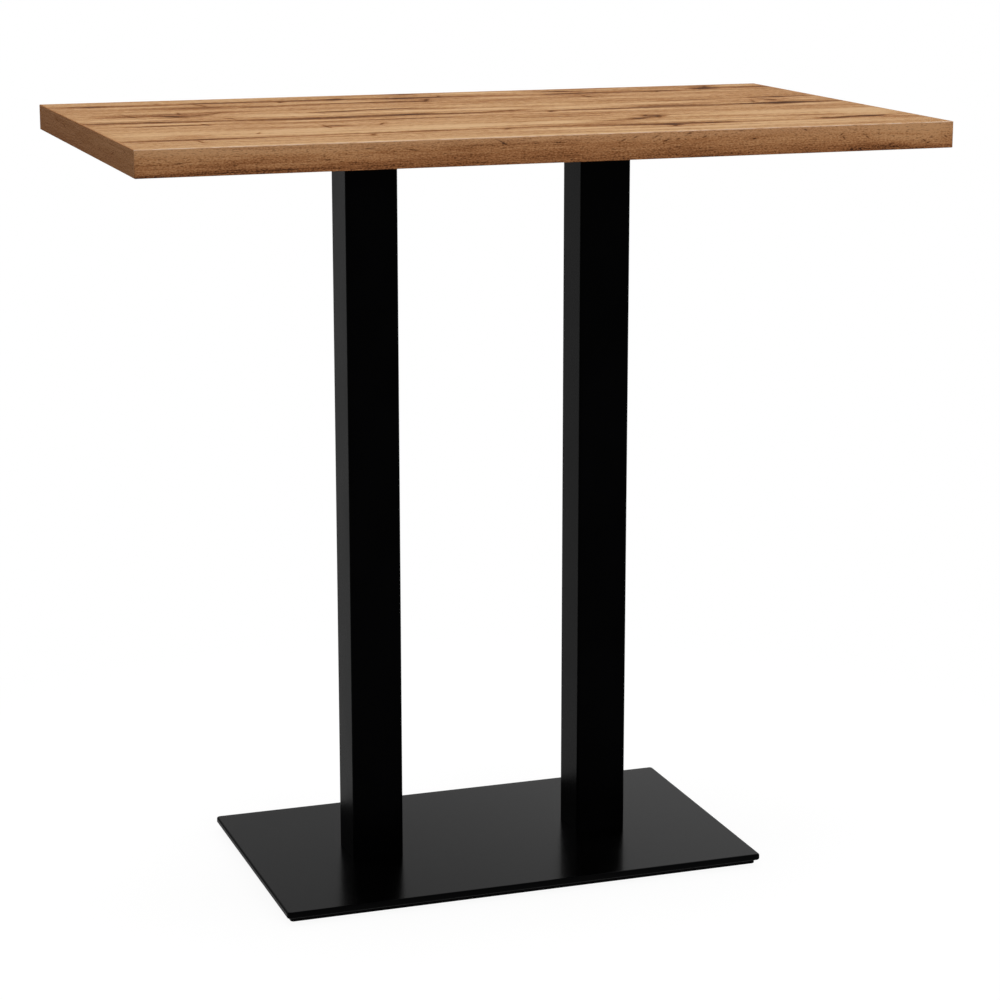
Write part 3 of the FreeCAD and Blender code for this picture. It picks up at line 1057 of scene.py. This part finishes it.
@dataclass
class Tabletop:
    """The top: a pressed-board core with a laminate on each face and four edge bands."""

    low: Vector = field(default_factory=lambda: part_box("edge_band_front")[0])
    high: Vector = field(default_factory=lambda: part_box("edge_band_back")[1])
    face_gradient: float = -0.08
    long_gradient: float = 0.50
    # How strong the painted arris highlight, with some edge wear, is on the front and back bands.
    long_highlight_and_wear: float = 0.55
    long_pores: float = 0.8
    end_gradient: float = 0.06
    end_specular: float = 0.002
    end_pores: float = 0.6

    def build(self) -> None:
        """Dresses the top's pieces."""
        dress("top_laminate", self.face_finish().material())
        for side in Side:
            dress("edge_band_" + side.name.lower(), self.edge_finish(side).material())
        dress("underside_laminate", BalancingLaminate().material())
        dress("tabletop_core", PressedBoard().material())

    def face_finish(self) -> OakFace:
        """The finish of the upper face.

        Returns:
            The finish, measured from the face's far left corner.
        """
        shift = (-self.low.x, -self.high.y, 0.0)
        width = self.high.y - self.low.y
        way, down = (1, 0, 0), (0, -1, 0)
        return OakFace("oak_top", TOP_FIGURE, OAK_TONES, way, down, shift, width, self.face_gradient)

    def edge_finish(self, side: Side) -> OakFace:
        """The finish of one edge band, with its grain along the band.

        Args:
            side: The band's side.

        Returns:
            The finish, measured from the band's upper left end as seen from outside.
        """
        out_x, out_y = side.value
        along, down = (-out_y, out_x, 0), (out_x, out_y, -1)
        start_x = self.low.x if out_x < along[0] else self.high.x
        start_y = self.low.y if out_y < along[1] else self.high.y
        shift = (-start_x, -start_y, -self.high.z)
        depth = self.high.z - self.low.z
        name, figure = "oak_edge_" + side.name.lower(), EDGE_FIGURES[side]
        face = OakFace(name, figure, EDGE_TONES, along, down, shift, depth, self.long_gradient)
        if side in (Side.FRONT, Side.BACK):
            # The front and back bands get the painted arris highlight, with some edge wear.
            return replace(face, arris_highlight_and_wear=self.long_highlight_and_wear, pore_share=self.long_pores)
        end_values = {"gradient": self.end_gradient, "specular": self.end_specular}
        return replace(face, pore_share=self.end_pores, **end_values)


@dataclass
class SteelFrame:
    """The columns with their blocks, the mounting plates, the base and its ballast."""

    upright_nodes: tuple[str, ...] = ("mounting_plate", "column_tube", "column_head", "column_foot")
    flat_nodes: tuple[str, ...] = ("base_plate", "ballast_plate")
    upright_coat: PowderCoat = PowderCoat()
    flat_coat: PowderCoat = PowderCoat(
        "black_powder_coat_flat", roughness=0.17, specular=0.024, flow_gloss=0.095,
    )

    def build(self) -> None:
        """Dresses the steel pieces, the flat ones in a coat that flowed out smoother."""
        coat, flat_coat = self.upright_coat.material(), self.flat_coat.material()
        for node in self.upright_nodes:
            dress(node + "_left", coat)
            dress(node + "_right", coat)
        for node in self.flat_nodes:
            dress(node, flat_coat)


@dataclass
class Hardware:
    """The fasteners and the levelling glides."""

    fasteners: tuple[str, ...] = (
        "tabletop_screws", "plate_bolts", "lock_washers", "column_bolts", "ballast_screws",
    )
    glide_count: int = 4

    def build(self) -> None:
        """Dresses the fasteners and glides."""
        zinc = ZincPlate().material()
        plastic = MouldedPlastic().material()
        for node in self.fasteners:
            dress(node, zinc)
        for number in range(1, self.glide_count + 1):
            dress(f"glide_stud_{number}", zinc)
            dress(f"glide_pad_{number}", plastic)


@dataclass(frozen=True)
class Lamp:
    """A soft rectangular lamp that faces a point."""

    name: str
    place: Place
    aim: Place
    width: float
    height: float
    power: float

    def build(self) -> None:
        """Hangs the lamp, out of sight of the camera and of reflections."""
        light = bpy.data.lights.new(self.name, "AREA")
        light.shape = "RECTANGLE"
        light.size = self.width
        light.size_y = self.height
        light.energy = self.power
        holder = bpy.data.objects.new(self.name, light)
        bpy.context.scene.collection.objects.link(holder)
        holder.location = self.place
        aim = Vector(self.aim) - Vector(self.place)
        holder.rotation_euler = aim.to_track_quat("-Z", "Y").to_euler()
        holder.visible_camera = False
        holder.visible_glossy = False


@dataclass
class Studio:
    """A pale floor, a white surround and plain soft lamps."""

    floor_side: float = 400.0
    floor_grey: float = 0.5
    shadow_share: float = 0.14
    shadow_lift: float = 0.5
    shadow_reach: Reach = (0.5, 1.3)
    surround_strength: float = 0.28
    lamps: tuple[Lamp, ...] = (
        Lamp("overhead_lamp", (0.0, 0.3, 7.0), (0.0, 0.0, 1.16), 5.0, 4.0, 255.0),
        Lamp("front_lamp", (1.2, -4.6, 1.6), (0.0, 0.0, 0.9), 2.4, 2.0, 60.0),
    )

    def build(self) -> None:
        """Lays the floor, hangs the lamps and sets the surround."""
        self.lay_floor()
        self.set_surround()
        for lamp in self.lamps:
            lamp.build()
        bpy.context.scene.view_settings.view_transform = "Standard"

    def lay_floor(self) -> None:
        """Makes the floor."""
        half = self.floor_side / 2
        mesh = bpy.data.meshes.new("floor")
        corners = [(-half, -half, 0.0), (half, -half, 0.0), (half, half, 0.0), (-half, half, 0.0)]
        mesh.from_pydata(corners, [], [(0, 1, 2, 3)])
        floor = bpy.data.objects.new("floor", mesh)
        bpy.context.scene.collection.objects.link(floor)
        mesh.materials.append(self.floor_material())

    def floor_material(self) -> bpy.types.Material:
        """Makes the floor's finish, which is white to the camera and keeps the table's shadow.

        Returns:
            The finished material.
        """
        bench = Bench.for_material("floor_white")
        seen = self.white_rays(bench)
        grey = (self.floor_grey, self.floor_grey, self.floor_grey, 1.0)
        plain = bench.node("ShaderNodeBsdfDiffuse", None, {"Color": grey})
        matt = bench.node("ShaderNodeBsdfDiffuse", None, {"Color": WHITE})
        lift = bench.node("ShaderNodeEmission", None, {"Color": WHITE, "Strength": self.shadow_lift})
        shaded = bench.node("ShaderNodeAddShader", None, {0: matt, 1: lift})
        glow = bench.node("ShaderNodeEmission", None, {"Color": WHITE, "Strength": 1.0})
        away = bench.surface_place().measure("DISTANCE", (0.0, 0.0, 0.0))
        glowing = away.ease(*self.shadow_reach, 1.0 - self.shadow_share, 1.0)
        shown = bench.node("ShaderNodeMixShader", None, {0: glowing, 1: shaded, 2: glow})
        bench.end(bench.node("ShaderNodeMixShader", None, {0: seen, 1: plain, 2: shown}))
        return bench.owner

    def set_surround(self) -> None:
        """Makes the surround white to the camera and in reflections, and a plain fill light otherwise."""
        world = bpy.data.worlds.new("surround")
        bpy.context.scene.world = world
        bench = Bench(world)
        seen = self.white_rays(bench)
        sockets = {"Color": WHITE, "Strength": self.surround_strength}
        fill = bench.node("ShaderNodeBackground", None, sockets)
        white = bench.node("ShaderNodeBackground", None, {"Color": WHITE, "Strength": 1.0})
        mixed = bench.node("ShaderNodeMixShader", None, {0: seen, 1: fill, 2: white})
        bench.end(mixed, "ShaderNodeOutputWorld")

    @staticmethod
    def white_rays(bench: Bench) -> Wire:
        """Picks out the rays that see the floor and the surround as white.

        Args:
            bench: The bench of the floor's or the surround's tree.

        Returns:
            1 on rays from the camera, from gloss and through glass, and 0 on others.
        """
        seen, gloss, glass = (
            bench.node("ShaderNodeLightPath", output=ray)
            for ray in ("Is Camera Ray", "Is Glossy Ray", "Is Transmission Ray")
        )
        return seen.most(gloss).most(glass)


@dataclass(frozen=True)
class PhotoCamera:
    """The camera of the photograph, as its edges place it."""

    place: Place = (-1.3453, -3.9547, 1.5463)
    pan: float = 19.153
    tilt: float = 13.197
    lens: float = 100.35
    sensor: float = 36.0
    sight: float = 1000.0

    def build(self) -> None:
        """Sets up the camera."""
        data = bpy.data.cameras.new("photo_camera")
        data.lens = self.lens
        data.sensor_width = self.sensor
        data.clip_end = self.sight
        camera = bpy.data.objects.new("photo_camera", data)
        bpy.context.scene.collection.objects.link(camera)
        camera.location = self.place
        camera.rotation_euler = (math.radians(90.0 - self.tilt), 0.0, math.radians(-self.pan))
        bpy.context.scene.camera = camera


def main() -> None:
    """Builds the scene."""
    logging.basicConfig(level=logging.INFO, format="%(name)s: %(message)s")
    for part in (Tabletop(), SteelFrame(), Hardware(), Studio(), PhotoCamera()):
        part.build()
        LOG.info("built %s", type(part).__name__)


if __name__ == "__main__":
    main()
